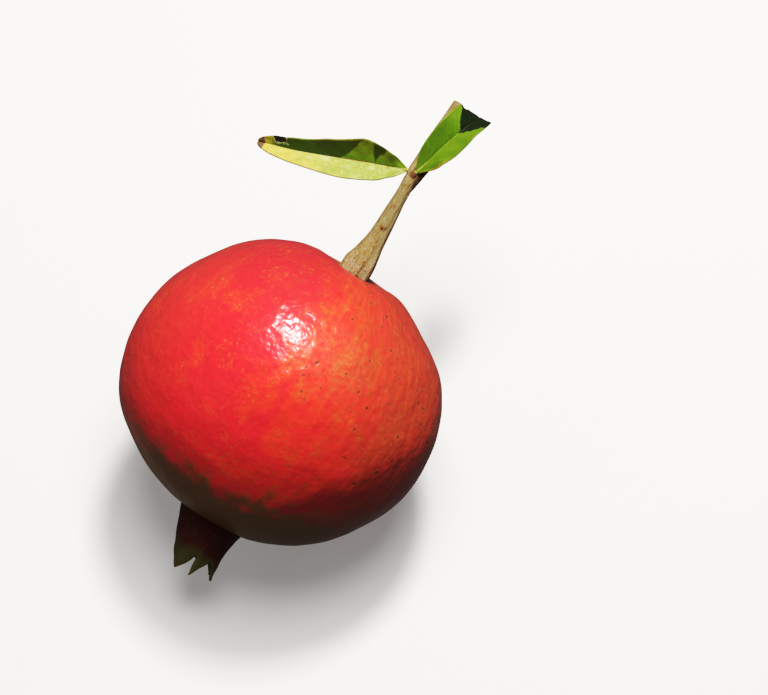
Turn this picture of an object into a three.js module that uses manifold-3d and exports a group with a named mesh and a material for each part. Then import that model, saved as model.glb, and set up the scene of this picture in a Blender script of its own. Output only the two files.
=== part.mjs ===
// A pomegranate as picked: the ripe fruit lies tilted on a small flat spot, with its crown of
// sepals and dried stamens at the low end and its cut twig with two leaves at the high end.
// Millimetres, +Z up. The base lies on z = 0 and the origin is at the middle of the footprint.
//
// Every piece is shaped in the fruit's grown frame: the fruit's middle at the origin, Z along
// the core towards the twig, X across, and -Y the side that looks up once the fruit is laid down.

import * as THREE from 'three';
import { mergeVertices } from 'three/addons/utils/BufferGeometryUtils.js';
import Module from 'manifold-3d';

const wasm = await Module();
wasm.setup();

// The fruit
const girthRadius = 40;
const stemHalf = 36.4;
const crownHalf = 37.2;
const shoulderPower = 0.97;       // below 1 the skin is a little fuller than an ellipsoid
const coreOffset = 1.1;           // the core meets both ends beside the middle of the body
const swellShift = 0.7;           // the body swells to one side towards the crown
const swellHeight = -21;
const swellSpread = 9;
const cheekDepth = 0.9;           // one side is flatter near the twig and fuller near the crown
const facetCount = 5;             // soft flats between the seed chambers
const facetDepth = 0.45;
const facetTurn = Math.PI / 2;
const dimpleDepth = 2;
const dimpleRadius = 7;
const dimpleOffset = 1.6;
const fruitSectors = 64;
const fruitBands = 40;

// How the fruit lies
const leanFromUpright = THREE.MathUtils.degToRad(64.5);
const rollAboutCore = THREE.MathUtils.degToRad(-73.6);
const middleHeight = 39;        // a little under the fruit's radius, which leaves the flat spot
const floorSlab = 70;

// The crown of sepals
const crownBaseHeight = -36.4;
const crownBaseRadius = 8.6;
const crownTipRadius = 5.5;
const crownFull = 14.4;           // from the crease to the longest tip
const crownTube = 9.4;            // from the crease to the notches
const crownTaper = 1.6;
const crownDrift = 3.1;           // how far the tips lean aside
const crownWall = 1.25;
const crownTipWall = 0.8;
const crownFloor = 1.2;
const crownRoot = 2;
const sepalBulge = 0.22;
const sepals = [                  // where each one starts round the crown, in degrees from -Y
  { start: -95, length: 5.3, lean: -19, fullness: 1.5 },
  { start: 3, length: 4.9, lean: -30, fullness: 1.4 },
  { start: 42, length: 3.8, lean: 2, fullness: 0.6 },
  { start: 95, length: 3.2, lean: 5, fullness: 1 },
  { start: 150, length: 3.1, lean: -14, fullness: 1.2 },
  { start: 210, length: 4.6, lean: 6, fullness: 1 },
];
const sepalColumns = 8;
const crownBands = 9;

// The dried stamens
const moundRadius = 5.2;
const moundHeight = 1.8;
const filamentCount = 26;
const filamentRadius = 0.36;
const filamentSides = 4;
const wallRoom = 1;               // from a filament's middle line to the crown's wall

// The twig: height, X, Y and radius at each station, from its root to its cut end
const twigStations = [
  [33.2, 0.35, 0, 4],
  [36.1, 0.35, 0, 4.05],
  [38, 0.5, 0, 3.75],
  [40, 0.7, 0, 3.22],
  [42.2, 0.76, 0.1, 2.78],
  [45, 0.88, 0.15, 2.4],
  [50, 0.8, 0.2, 2.07],
  [54, 0.71, 0.1, 1.78],
  [57.2, 0.7, 0, 1.65],
  [60, 0.66, 0, 1.75],
  [62.4, 0.55, 0, 1.78],
  [64.8, 0.45, 0.1, 1.6],
  [68, 0.42, 0.2, 1.42],
  [73, 0.5, 0.3, 1.35],
  [78, 0.95, 0.3, 1.35],
  [83.2, 1.35, 0.2, 1.42],
];
const twigSides = 18;
const twigBands = 48;
const twigRibs = 7;
const twigRibDepth = 0.05;        // a share of the radius, strongest at the flared root
const socketGap = 0.3;

// The leaves
const leafThickness = 0.62;
const leafRibThickness = 1.05;
const leafRows = 26;
const leafHalfColumns = 4;
const petioleRadius = 0.55;

// Each leaf's two halves lie on either side of its midrib, the second one towards `across`,
// and each half's widths run from the foot to the tip
const leftLeaf = {
  across: [0, 0, -1],
  spine: [[-1.35, -0.5, 62.3], [-9.9, -2.2, 59.15], [-18.8, -2.4, 55.55],
    [-27.75, -0.9, 52.3], [-36.95, 2.4, 49.85]],
  halves: [
    { widths: [0.55, 3.1, 5.2, 6.5, 5.8, 4.9, 4.2, 3.5, 2.9, 2.4, 0.8], fold: 38 },
    { widths: [0.55, 2.9, 5.1, 6, 6.5, 6.3, 5.6, 4.9, 4.1, 3, 1.1], fold: 41 },
  ],
  waveDepth: 0.35,
  waves: 4.5,
  tipFold: 1,
};
const rightLeaf = {
  across: [-1, 0, 0],
  spine: [[1.1, -2.15, 63], [2.5, -3.4, 70.2], [5.3, -3.9, 76.8], [6.95, -1.6, 81.2],
    [7.3, 3.2, 83.1], [7.2, 8.9, 83.3], [6.8, 14.4, 81.9]],
  halves: [
    { widths: [0.55, 4.2, 5.9, 5.7, 4.8, 4, 3.5, 3.4, 3.1, 2.1, 0.5], fold: 42 },
    { widths: [0.55, 3.2, 4.2, 4.8, 5, 4.9, 3.6, 3.6, 3.2, 2.2, 0.5], fold: 22 },
  ],
  waveDepth: 0.3,
  waves: 4,
  tipFold: 0.08,                  // the fold opens where the leaf curls back
};

// ---- solids and their joining ----

function positionsOnly(geometry) {
  const bare = new THREE.BufferGeometry();
  bare.setAttribute('position', geometry.getAttribute('position').clone());
  if (geometry.index) bare.setIndex(geometry.index.clone());
  return mergeVertices(bare, 1e-5);
}

function toSolid(geometry) {
  const bare = positionsOnly(geometry);
  const vertProperties = Float32Array.from(bare.getAttribute('position').array);
  const triVerts = Uint32Array.from(bare.index.array);
  return new wasm.Manifold(new wasm.Mesh({ numProp: 3, vertProperties, triVerts }));
}

function toGeometry(solid) {
  const mesh = solid.getMesh();
  const geometry = new THREE.BufferGeometry();
  geometry.setAttribute('position', new THREE.BufferAttribute(mesh.vertProperties, 3));
  geometry.setIndex(new THREE.BufferAttribute(mesh.triVerts, 1));
  geometry.computeVertexNormals();
  return geometry;
}

function joined(solids) {
  return solids.reduce((whole, solid) => whole.add(solid));
}

// Closes a stack of rings, each an equal list of points, with a fan at either end.
// The rings run anticlockwise as seen from the last ring's side.
function stackRings(rings) {
  const sides = rings[0].length;
  const positions = rings.flat().flatMap((point) => point.toArray());
  const index = [];
  for (let ring = 0; ring < rings.length - 1; ring += 1) {
    for (let side = 0; side < sides; side += 1) {
      const here = ring * sides + side;
      const next = ring * sides + ((side + 1) % sides);
      index.push(here, next, next + sides, here, next + sides, here + sides);
    }
  }
  for (const [ring, flipped] of [[0, true], [rings.length - 1, false]]) {
    const middle = rings[ring].reduce((sum, point) => sum.add(point), new THREE.Vector3());
    const apex = positions.length / 3;
    positions.push(...middle.divideScalar(sides).toArray());
    for (let side = 0; side < sides; side += 1) {
      const here = ring * sides + side;
      const next = ring * sides + ((side + 1) % sides);
      index.push(...(flipped ? [next, here, apex] : [here, next, apex]));
    }
  }
  const geometry = new THREE.BufferGeometry();
  geometry.setAttribute('position', new THREE.Float32BufferAttribute(positions, 3));
  geometry.setIndex(index);
  return geometry;
}

// A repeatable random source, so that the filaments are the same every time
function seededRandom(seed) {
  let state = seed;
  return () => {
    state = (state * 1664525 + 1013904223) % 4294967296;
    return state / 4294967296;
  };
}

// A smooth curve through evenly spaced values, read by a share from 0 to 1
function smoothValues(values) {
  const curve = new THREE.SplineCurve(values.map((value, i) => new THREE.Vector2(i, value)));
  return (share) => curve.getPoint(share).y;
}

// ---- the fruit ----

function skinPoint(direction) {
  const polar = Math.acos(THREE.MathUtils.clamp(direction.z, -1, 1));
  const turn = Math.atan2(direction.y, direction.x);
  const facets = facetDepth * Math.cos(facetCount * turn + facetTurn) * Math.sin(polar) ** 3;
  const cheekShare = Math.sin(2 * polar) + 0.5 * Math.sin(polar) ** 4;
  const cheek = cheekDepth * cheekShare * ((1 - Math.cos(turn)) / 2) ** 2;
  const radius = girthRadius * Math.sin(polar) ** shoulderPower + facets - cheek;
  const rounded = (polar < Math.PI / 2 ? stemHalf : crownHalf) * Math.cos(polar);
  const swell = swellShift * Math.exp(-(((rounded - swellHeight) / swellSpread) ** 2));
  const x = radius * Math.cos(turn) + coreOffset * Math.cos(polar) ** 2 - swell;
  const y = radius * Math.sin(turn);
  const fromDimple = Math.hypot(x - coreOffset - dimpleOffset, y);
  const dimple = rounded > 0 ? dimpleDepth * Math.exp(-((fromDimple / dimpleRadius) ** 2)) : 0;
  return new THREE.Vector3(x, y, rounded - dimple);
}

function fruitBody() {
  const ball = new THREE.SphereGeometry(1, fruitSectors, fruitBands);
  ball.rotateX(Math.PI / 2);
  const skin = positionsOnly(ball);
  const position = skin.getAttribute('position');
  for (let i = 0; i < position.count; i += 1) {
    const direction = new THREE.Vector3().fromBufferAttribute(position, i).normalize();
    position.setXYZ(i, ...skinPoint(direction).toArray());
  }
  return toSolid(skin);
}

// A plain round plug on the core's line between two heights
function plug(radius, lowHeight, highHeight, offset) {
  const cylinder = new THREE.CylinderGeometry(radius, radius, highHeight - lowHeight, 40);
  cylinder.rotateX(Math.PI / 2);
  cylinder.translate(offset, 0, (lowHeight + highHeight) / 2);
  return toSolid(cylinder);
}

// The ground under the laid fruit, seen from the grown frame
function groundSlab(laidMatrix) {
  const slab = new THREE.BoxGeometry(floorSlab, floorSlab, floorSlab);
  slab.translate(0, 0, -floorSlab / 2);
  slab.applyMatrix4(laidMatrix.clone().invert());
  return toSolid(slab);
}

function makeFruit(laidMatrix) {
  const [rootHeight, rootX, , rootRadius] = twigStations[0];
  const twigSocket = plug(rootRadius * (1 + twigRibDepth) + socketGap + 0.1,
    rootHeight - socketGap, stemHalf + 2, rootX);
  const crownSocket = plug(crownBaseRadius + socketGap,
    crownBaseHeight - 5, crownBaseHeight + crownRoot + socketGap, coreOffset);
  const body = fruitBody().subtract(twigSocket).subtract(crownSocket);
  return toGeometry(body.subtract(groundSlab(laidMatrix)));
}

// ---- the crown ----

// The middle line and outer radius of the crown at a distance from its crease
function crownCentre(reach) {
  const share = Math.max(reach, 0) / crownFull;
  return coreOffset + crownDrift * share ** 2;
}

function crownRadius(reach) {
  const share = THREE.MathUtils.clamp(reach / crownFull, 0, 1);
  return crownTipRadius + (crownBaseRadius - crownTipRadius) * (1 - share) ** crownTaper;
}

// A point of the crown: the turn is measured from the viewer's side towards +X
function crownPoint(turn, reach, inset) {
  const radius = crownRadius(reach) - inset;
  return new THREE.Vector3(
    crownCentre(reach) + radius * Math.sin(turn),
    -radius * Math.cos(turn),
    crownBaseHeight - reach,
  );
}

// The crown's columns, each from the crease to the sepal's margin, against the clock
function crownColumns() {
  const columns = [];
  sepals.forEach(({ start, length, lean, fullness }, sepal) => {
    const end = sepals[sepal + 1]?.start ?? sepals[0].start + 360;
    for (let column = 0; column < sepalColumns; column += 1) {
      const share = column / sepalColumns;
      columns.push({
        turn: THREE.MathUtils.degToRad(start + (end - start) * share),
        lean: THREE.MathUtils.degToRad(lean) / length,
        top: crownTube + length * (1 - Math.abs(2 * share - 1)) ** (1 / fullness),
        bulge: sepalBulge * Math.sin(Math.PI * share),
      });
    }
  });
  return columns.reverse();
}

function columnPoint({ turn, lean }, reach, inset) {
  return crownPoint(turn + lean * Math.max(0, reach - crownTube), reach, inset);
}

// Rings from the root's outside edge over the rim and down to the floor inside
function makeCrown() {
  const columns = crownColumns();
  const rings = [columns.map((column) => columnPoint(column, -crownRoot, 0))];
  for (let band = 0; band <= crownBands; band += 1) {
    const share = band / crownBands;
    const swelling = Math.sin(Math.PI * Math.min(share * 1.2, 1));
    rings.push(columns.map((column) => (
      columnPoint(column, column.top * share, -column.bulge * swelling)
    )));
  }
  for (let band = crownBands; band >= 0; band -= 1) {
    const share = band / crownBands;
    const wall = THREE.MathUtils.lerp(crownWall, crownTipWall, share ** 2);
    rings.push(columns.map((column) => (
      columnPoint(column, THREE.MathUtils.lerp(crownFloor, column.top, share), wall)
    )));
  }
  return toGeometry(toSolid(stackRings(rings)));
}

// ---- the stamens ----

function filament(random) {
  const turn = random() * Math.PI * 2;
  const rootReach = crownFloor + moundHeight * 0.6;
  const rootRadius = moundRadius * 0.85 * Math.sqrt(random());
  const tipReach = crownTube * (0.55 + 0.5 * random());
  const tipRoom = crownRadius(tipReach) - crownWall - wallRoom;
  const tipRadius = Math.min(rootRadius * 0.9 + 1.6 * random(), tipRoom);
  const tipTurn = turn + (random() - 0.5) * 1.1;
  const bend = (random() - 0.5) * 1.2;
  const rings = [0, 0.35, 0.7, 1].map((share) => {
    const reach = THREE.MathUtils.lerp(rootReach, tipReach, share);
    const radius = THREE.MathUtils.lerp(rootRadius, tipRadius, share);
    const swing = THREE.MathUtils.lerp(turn, tipTurn, share) + bend * share * (1 - share);
    const thick = filamentRadius * (share === 1 ? 0.9 : 1 - 0.3 * share);
    return [...Array(filamentSides).keys()].map((side) => {
      const angle = -side * 2 * Math.PI / filamentSides;
      return new THREE.Vector3(
        crownCentre(reach) + radius * Math.sin(swing) + thick * Math.cos(angle),
        -radius * Math.cos(swing) + thick * Math.sin(angle),
        crownBaseHeight - reach,
      );
    });
  });
  return toSolid(stackRings(rings));
}

function makeStamens() {
  const random = seededRandom(7);
  const mound = new THREE.SphereGeometry(1, 24, 12);
  mound.scale(moundRadius, moundRadius, moundHeight / 2);
  mound.translate(coreOffset, 0, crownBaseHeight - crownFloor - socketGap - moundHeight / 2);
  const filaments = [...Array(filamentCount).keys()].map(() => filament(random));
  return toGeometry(joined([toSolid(mound), ...filaments]));
}

// ---- the twig ----

function twigBody() {
  const [height, x, y, girth] = [0, 1, 2, 3].map((column) => (
    smoothValues(twigStations.map((station) => station[column]))
  ));
  const rings = [];
  for (let band = 0; band <= twigBands; band += 1) {
    const share = band / twigBands;
    const centre = new THREE.Vector3(x(share), y(share), height(share));
    const radius = girth(share);
    const flare = THREE.MathUtils.clamp((radius - 1.4) / 2.6, 0.15, 1);
    rings.push([...Array(twigSides).keys()].map((side) => {
      const angle = side * 2 * Math.PI / twigSides;
      const rib = 1 + twigRibDepth * flare * Math.cos(twigRibs * angle + centre.z * 0.12);
      const out = new THREE.Vector3(Math.cos(angle), Math.sin(angle), 0);
      return centre.clone().addScaledVector(out, radius * rib);
    }));
  }
  return toSolid(stackRings(rings));
}

// A blunt tapering stub from one point to another
function stub(from, to, rootRadius, tipRadius, sides = 12) {
  const start = new THREE.Vector3(...from);
  const reach = new THREE.Vector3(...to).sub(start);
  const cone = new THREE.CylinderGeometry(tipRadius, rootRadius, reach.length(), sides, 1);
  cone.translate(0, reach.length() / 2, 0);
  cone.applyQuaternion(new THREE.Quaternion().setFromUnitVectors(
    new THREE.Vector3(0, 1, 0), reach.clone().normalize(),
  ));
  cone.translate(...start.toArray());
  return toSolid(cone);
}

function knob(centre, radii) {
  const ball = new THREE.SphereGeometry(1, 14, 8);
  ball.scale(...radii);
  ball.translate(...centre);
  return toSolid(ball);
}

function leafSeat({ spine }) {
  const foot = new THREE.Vector3(...spine[0]);
  const heading = new THREE.Vector3(...spine[1]).sub(foot).normalize();
  const inner = foot.clone().addScaledVector(heading, -socketGap);
  const outer = foot.clone().addScaledVector(heading, 3);
  return stub(inner.toArray(), outer.toArray(), petioleRadius + 0.75, petioleRadius + 0.75);
}

function makeTwig() {
  const sideShoot = stub([1.25, 0.3, 58.6], [3.05, 0.6, 66.8], 1.2, 0.9);
  const bud = knob([0.7, -1.55, 62.1], [0.7, 0.65, 0.95]);
  const scar = knob([0.85, -2.05, 47.3], [0.85, 0.6, 1.1]);
  const scarPit = knob([0.75, -2.5, 46.5], [0.35, 0.35, 0.45]);
  const wood = joined([twigBody(), sideShoot, bud, scar]).subtract(scarPit);
  return toGeometry(wood.subtract(leafSeat(leftLeaf)).subtract(leafSeat(rightLeaf)));
}

// ---- the leaves ----

// The frame of the blade at a share of its length: the line of the midrib, the direction that
// its upper face looks in, and the direction across
function bladeFrame(leaf, spine, share) {
  const tangent = spine.getTangent(share);
  const face = new THREE.Vector3().crossVectors(tangent, new THREE.Vector3(...leaf.across));
  face.normalize();
  const across = new THREE.Vector3().crossVectors(face, tangent);
  return { centre: spine.getPoint(share), face, across };
}

// How far the halves are folded up, as a share of the leaf's own fold
function foldShare(leaf, share) {
  const opening = THREE.MathUtils.smoothstep(share, 0.3, 0.68);
  return Math.min(1, share * 6 + 0.2) * THREE.MathUtils.lerp(1, leaf.tipFold, opening);
}

// One cross-section: its points on the upper and the lower face, from margin to margin
function bladeSection(leaf, spine, widths, share) {
  const { centre, face, across } = bladeFrame(leaf, spine, share);
  const upper = [];
  const lower = [];
  for (let column = -leafHalfColumns; column <= leafHalfColumns; column += 1) {
    const half = column < 0 ? 0 : 1;
    const side = column < 0 ? -1 : 1;
    const outward = Math.abs(column) / leafHalfColumns;
    const fold = THREE.MathUtils.degToRad(leaf.halves[half].fold) * foldShare(leaf, share);
    const width = widths[half](share) * outward;
    const wave = Math.sin(leaf.waves * 2 * Math.PI * share + side) * Math.sin(Math.PI * share);
    const point = centre.clone()
      .addScaledVector(across, side * width * Math.cos(fold))
      .addScaledVector(face, width * Math.sin(fold) + leaf.waveDepth * outward ** 2 * wave);
    const fromRib = Math.min(1, outward * 2);
    const normal = face.clone().multiplyScalar(Math.cos(fold * fromRib))
      .addScaledVector(across, -side * Math.sin(fold * fromRib));
    const thickness = THREE.MathUtils.lerp(leafRibThickness, leafThickness, fromRib);
    upper.push(point);
    lower.push(point.clone().addScaledVector(normal, -thickness));
  }
  return { upper, lower };
}

function makeLeaf(leaf) {
  const spine = new THREE.CatmullRomCurve3(leaf.spine.map((point) => new THREE.Vector3(...point)));
  const widths = leaf.halves.map((half) => smoothValues(half.widths));
  const rings = [];
  for (let row = 0; row <= leafRows; row += 1) {
    const { upper, lower } = bladeSection(leaf, spine, widths, row / leafRows);
    rings.push([...lower, ...upper.reverse()]);
  }
  return toGeometry(toSolid(stackRings(rings)));
}

// ---- the whole ----

function makeMaterial(color, roughness) {
  return new THREE.MeshStandardMaterial({ color, roughness, metalness: 0 });
}

function addPiece(group, name, geometry, material) {
  const mesh = new THREE.Mesh(geometry, material);
  mesh.name = name;
  group.add(mesh);
}

const laid = new THREE.Group();
laid.rotation.set(0, leanFromUpright, rollAboutCore, 'YXZ');
laid.position.z = middleHeight;
laid.updateMatrixWorld(true);

addPiece(laid, 'fruit', makeFruit(laid.matrixWorld), makeMaterial(0xc8322b, 0.35));
addPiece(laid, 'calyx', makeCrown(), makeMaterial(0x3a1a14, 0.6));
addPiece(laid, 'stamens', makeStamens(), makeMaterial(0x6d4a25, 0.8));
addPiece(laid, 'stem', makeTwig(), makeMaterial(0xa8946a, 0.8));
addPiece(laid, 'leaf_left', makeLeaf(leftLeaf), makeMaterial(0x9fae45, 0.5));
addPiece(laid, 'leaf_right', makeLeaf(rightLeaf), makeMaterial(0x4f8a1c, 0.45));

const pomegranate = new THREE.Group();
pomegranate.add(laid);
const footprint = new THREE.Box3().setFromObject(pomegranate, true).getCenter(new THREE.Vector3());
pomegranate.position.set(-footprint.x, -footprint.y, 0);
pomegranate.updateMatrixWorld(true);

export default pomegranate;
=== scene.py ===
import math
import random

import bpy
from mathutils import Matrix, Vector, noise


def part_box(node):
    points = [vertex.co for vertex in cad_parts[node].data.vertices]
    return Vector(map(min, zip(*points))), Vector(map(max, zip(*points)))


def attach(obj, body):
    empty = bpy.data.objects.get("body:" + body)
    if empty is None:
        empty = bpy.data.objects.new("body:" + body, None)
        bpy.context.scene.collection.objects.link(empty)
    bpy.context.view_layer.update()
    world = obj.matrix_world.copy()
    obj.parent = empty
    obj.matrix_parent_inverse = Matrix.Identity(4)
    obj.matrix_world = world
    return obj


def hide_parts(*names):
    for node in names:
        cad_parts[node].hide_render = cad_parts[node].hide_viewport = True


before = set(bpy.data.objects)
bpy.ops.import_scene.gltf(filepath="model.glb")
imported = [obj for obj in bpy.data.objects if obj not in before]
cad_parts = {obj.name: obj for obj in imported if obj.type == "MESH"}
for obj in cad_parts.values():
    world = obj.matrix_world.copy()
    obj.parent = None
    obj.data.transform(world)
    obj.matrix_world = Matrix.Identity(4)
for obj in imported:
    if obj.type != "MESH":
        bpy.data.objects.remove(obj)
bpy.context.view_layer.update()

# Lengths are in mm and angles in degrees unless a note says otherwise; colours are linear
mm = 0.001
toneCurve = ((0.06, 0.045), (0.2, 0.30), (0.4, 0.57), (0.7, 0.84))     # lifts all but the darks
look = bpy.context.scene.view_settings
look.view_transform = "Standard"
look.use_curve_mapping = True
for darker, lighter in toneCurve:
    look.curve_mapping.curves[3].points.new(darker, lighter)
look.curve_mapping.update()


# How the fruit lies. Pieces are shaped in its grown frame: Z along the core towards the twig,
# X across, -Y the side that looks up, and the middle of the body at the origin
lying = {
    "tilt": 64.5,                       # from upright
    "roll": -73.6,
    "middleFromBox": (0.31, 0.65, -0.06),
}
fruitLow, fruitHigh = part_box("fruit")
fruitMiddle = (fruitLow + fruitHigh) / 2 + Vector(lying["middleFromBox"]) * mm
grownTurn = (Matrix.Rotation(math.radians(lying["tilt"]), 4, "Y")
             @ Matrix.Rotation(math.radians(lying["roll"]), 4, "Z"))
grown = Matrix.Translation(fruitMiddle) @ grownTurn
toGrown = grown.inverted()


def grownPoint(x, y, z):
    return grown @ (Vector((x, y, z)) * mm)


# Working with pieces

def pick(*chosen):                      # selects these objects alone, outside edit mode
    if bpy.context.object and bpy.context.object.mode != "OBJECT":
        bpy.ops.object.mode_set(mode="OBJECT")
    bpy.ops.object.select_all(action="DESELECT")
    for piece in chosen:
        piece.select_set(True)
    bpy.context.view_layer.objects.active = chosen[0]


def addModifier(piece, kind, **settings):
    modifier = piece.modifiers.new(kind.title(), kind)
    for name, value in settings.items():
        setattr(modifier, name, value)


def applyModifiers(piece):
    pick(piece)
    for modifier in list(piece.modifiers):
        bpy.ops.object.modifier_apply(modifier=modifier.name)


def place(piece, matrix):               # moves a piece there and keeps its object at the origin
    pick(piece)
    piece.matrix_world = matrix
    bpy.ops.object.transform_apply(location=True, rotation=True, scale=True)


def choose(piece, test):                # ends in edit mode, with the vertices that pass selected
    bpy.ops.object.mode_set(mode="OBJECT")
    for part in (*piece.data.polygons, *piece.data.edges):
        part.select = False
    for vertex in piece.data.vertices:
        vertex.select = test(vertex.co)
    bpy.ops.object.mode_set(mode="EDIT")
    bpy.ops.mesh.select_mode(type="VERT")


def chooseFaces(piece, test):
    bpy.ops.object.mode_set(mode="OBJECT")
    for part in (*piece.data.vertices, *piece.data.edges):
        part.select = False
    for face in piece.data.polygons:
        face.select = test(face)
    bpy.ops.object.mode_set(mode="EDIT")
    bpy.ops.mesh.select_mode(type="FACE")


def mergedCopy(node, name):             # a node of the frame with its shared corners welded
    copy = bpy.data.objects.new(name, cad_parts[node].data.copy())
    copy.data.materials.clear()
    bpy.context.collection.objects.link(copy)
    pick(copy)
    bpy.ops.object.mode_set(mode="EDIT")
    bpy.ops.mesh.select_all(action="SELECT")
    bpy.ops.mesh.remove_doubles(threshold=0.01 * mm)
    bpy.ops.object.mode_set(mode="OBJECT")
    return copy


def pushOut(piece, depthAt):            # moves each vertex along its normal by a depth in mm
    normals = [vertex.normal.copy() for vertex in piece.data.vertices]
    for vertex, normal in zip(piece.data.vertices, normals):
        vertex.co += normal * depthAt((toGrown @ vertex.co) / mm) * mm
    piece.data.update()


def smoothStep(low, high, value):
    share = min(max((value - low) / (high - low), 0), 1)
    return share * share * (3 - 2 * share)


def handIn(piece, node, slot, *materials):
    for material in materials:
        piece.data.materials.append(material)
    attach(piece, "root")
    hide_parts(node)


# Shader maths: a wire is one output socket, and its sums add Math nodes

class Wire:
    def __init__(self, sheet, socket):
        self.sheet = sheet
        self.socket = socket

    def maths(self, operation, *others):
        return self.sheet.add("ShaderNodeMath", {"operation": operation},
                              dict(enumerate((self, *others))))

    def __add__(self, other):
        return self.maths("ADD", other)

    def __sub__(self, other):
        return self.maths("SUBTRACT", other)

    def __mul__(self, other):
        return self.maths("MULTIPLY", other)

    def __truediv__(self, other):
        return self.maths("DIVIDE", other)

    def __rsub__(self, other):
        return self.sheet.add("ShaderNodeMath", {"operation": "SUBTRACT"}, {0: other, 1: self})

    __radd__ = __add__
    __rmul__ = __mul__

    def between(self, low, high):       # 0 below low, 1 above high, smooth in between
        return self.sheet.add("ShaderNodeMapRange", {"interpolation_type": "SMOOTHSTEP"},
                              {"Value": self, "From Min": low, "From Max": high})


class Sheet:
    def __init__(self, name, **constants):
        self.material = bpy.data.materials.new(name)
        self.material.use_nodes = True
        self.nodes = self.material.node_tree.nodes
        self.links = self.material.node_tree.links
        self.shader = self.nodes["Principled BSDF"]
        for socket, value in constants.items():
            self.shader.inputs[socket.replace("_", " ")].default_value = value

    def feed(self, socket, value):
        if isinstance(value, Wire):
            self.links.new(value.socket, socket)
        else:
            socket.default_value = value

    def add(self, kind, settings=None, feeds=None, output=0):
        node = self.nodes.new(kind)
        for name, value in (settings or {}).items():
            if name == "stops":
                ramp = node.color_ramp.elements
                while len(ramp) < len(value):
                    ramp.new(0.5)
                for stop, (position, tint) in zip(ramp, value):
                    stop.position = position
                    stop.color = tint
            else:
                setattr(node, name, value)
        for socket, value in (feeds or {}).items():
            self.feed(node.inputs[socket], value)
        return Wire(self, node.outputs[output])

    def paint(self, **sockets):
        for socket, value in sockets.items():
            self.feed(self.shader.inputs[socket.replace("_", " ")], value)

    def grownPlace(self):               # the surface point in the fruit's grown frame, in mm
        spot = self.add("ShaderNodeTexCoord", output="Object")
        return self.add("ShaderNodeMapping", {"vector_type": "TEXTURE"},
                        {"Vector": spot, "Location": fruitMiddle,
                         "Rotation": grownTurn.to_euler("XYZ"), "Scale": (mm, mm, mm)})

    def split(self, vector):
        return [self.add("ShaderNodeSeparateXYZ", feeds={"Vector": vector}, output=axis)
                for axis in range(3)]

    def join(self, x, y, z):
        return self.add("ShaderNodeCombineXYZ", feeds={"X": x, "Y": y, "Z": z})

    def stretch(self, vector, scale, shift=(0, 0, 0)):
        return self.add("ShaderNodeMapping", feeds={"Vector": vector, "Scale": scale,
                                                    "Location": shift})

    def clouds(self, vector, scale, detail=3, roughness=0.5, distortion=0):
        return self.add("ShaderNodeTexNoise", feeds={
            "Vector": vector, "Scale": scale, "Detail": detail, "Roughness": roughness,
            "Distortion": distortion})

    def cells(self, vector, scale, output="Distance"):
        return self.add("ShaderNodeTexVoronoi", feeds={"Vector": vector, "Scale": scale},
                        output=output)

    def shaken(self, vector, scale, reach):     # the same places, each moved a little at random
        push = self.add("ShaderNodeTexNoise", output="Color",
                        feeds={"Vector": vector, "Scale": scale, "Detail": 1.0})
        centred = self.add("ShaderNodeVectorMath", {"operation": "SUBTRACT"},
                           {0: push, 1: (0.5, 0.5, 0.5)})
        scaled = self.add("ShaderNodeVectorMath", {"operation": "SCALE"},
                          {0: centred, "Scale": reach})
        return self.add("ShaderNodeVectorMath", {"operation": "ADD"}, {0: vector, 1: scaled})

    def dots(self, vector, scale, radius, share, shift=(0, 0, 0)):
        # soft round dots in a share of the cells, each of its own size
        moved = self.stretch(vector, (1, 1, 1), shift)
        distance = self.cells(moved, scale)
        lot = self.split(self.cells(moved, scale, output="Color"))     # random in each cell
        size = radius * scale * (0.55 + lot[1] * 0.6)
        return (1 - (distance / size).between(0.45, 1)) * lot[0].maths("LESS_THAN", share)

    def mix(self, factor, first, second):
        return self.add("ShaderNodeMix", {"data_type": "RGBA"},
                        {0: factor, 6: first, 7: second}, output=2)

    def ramp(self, value, *stops):
        return self.add("ShaderNodeValToRGB", {"stops": stops}, {"Fac": value})

    def bump(self, height, strength, distance):
        return self.add("ShaderNodeBump", feeds={
            "Height": height, "Strength": strength, "Distance": distance})

    def distanceTo(self, spot, centre):
        return self.add("ShaderNodeVectorMath", {"operation": "DISTANCE"}, {0: spot, 1: centre},
                        output="Value")


def colour(red, green, blue):
    return (red, green, blue, 1)


# The rind

rind = {
    "cuts": 25,                         # across each face of the cube that it starts from
    "castRadius": 41,
    "sink": 0.04,                       # the skin lies this far inside the solid
    "settled": (0.4, 6),                # the relief fades out between these heights over the floor
    "twigSocket": (0.35, 4.62),         # where the sockets are across the core, and their radii
    "crownSocket": (1.1, 8.92),
    "swells": ((9, 0.22), (4, 0.09)),   # size and depth of the low relief
    "dips": (                           # hollows round the twig: x, y, z, width and depth
        (-4.5, 0, 35.5, 7, 1.5), (0.5, -8, 35, 6.5, 1.9), (6.3, -1, 35, 2.6, 0.8)),
    "lean": (0.035, 0.055),             # how much the shoulder rises left and drops right
    "paintedSheen": (7.5, -36, 13),            # the middle of a painted sheen beside the glint, an orange and pale patch
    "crimson": colour(0.76, 0.036, 0.049),
    "scarlet": colour(0.86, 0.058, 0.042),
    "orange": colour(0.72, 0.103, 0.038),
    "rimSheen": colour(0.72, 0.52, 0.34),
    "rose": colour(0.48, 0.038, 0.048),
    "dull": colour(0.48, 0.075, 0.046),
    "paintedShadeRed": colour(0.30, 0.012, 0.018),
    "deep": colour(0.50, 0.016, 0.024),
    "olive": colour(0.25, 0.12, 0.028),
    "yellow": colour(0.74, 0.19, 0.04),
    "khaki": colour(0.36, 0.17, 0.05),
    "pale": colour(0.62, 0.40, 0.26),
    "pitAndCreaseShade": colour(0.13, 0.03, 0.028),
}


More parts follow.
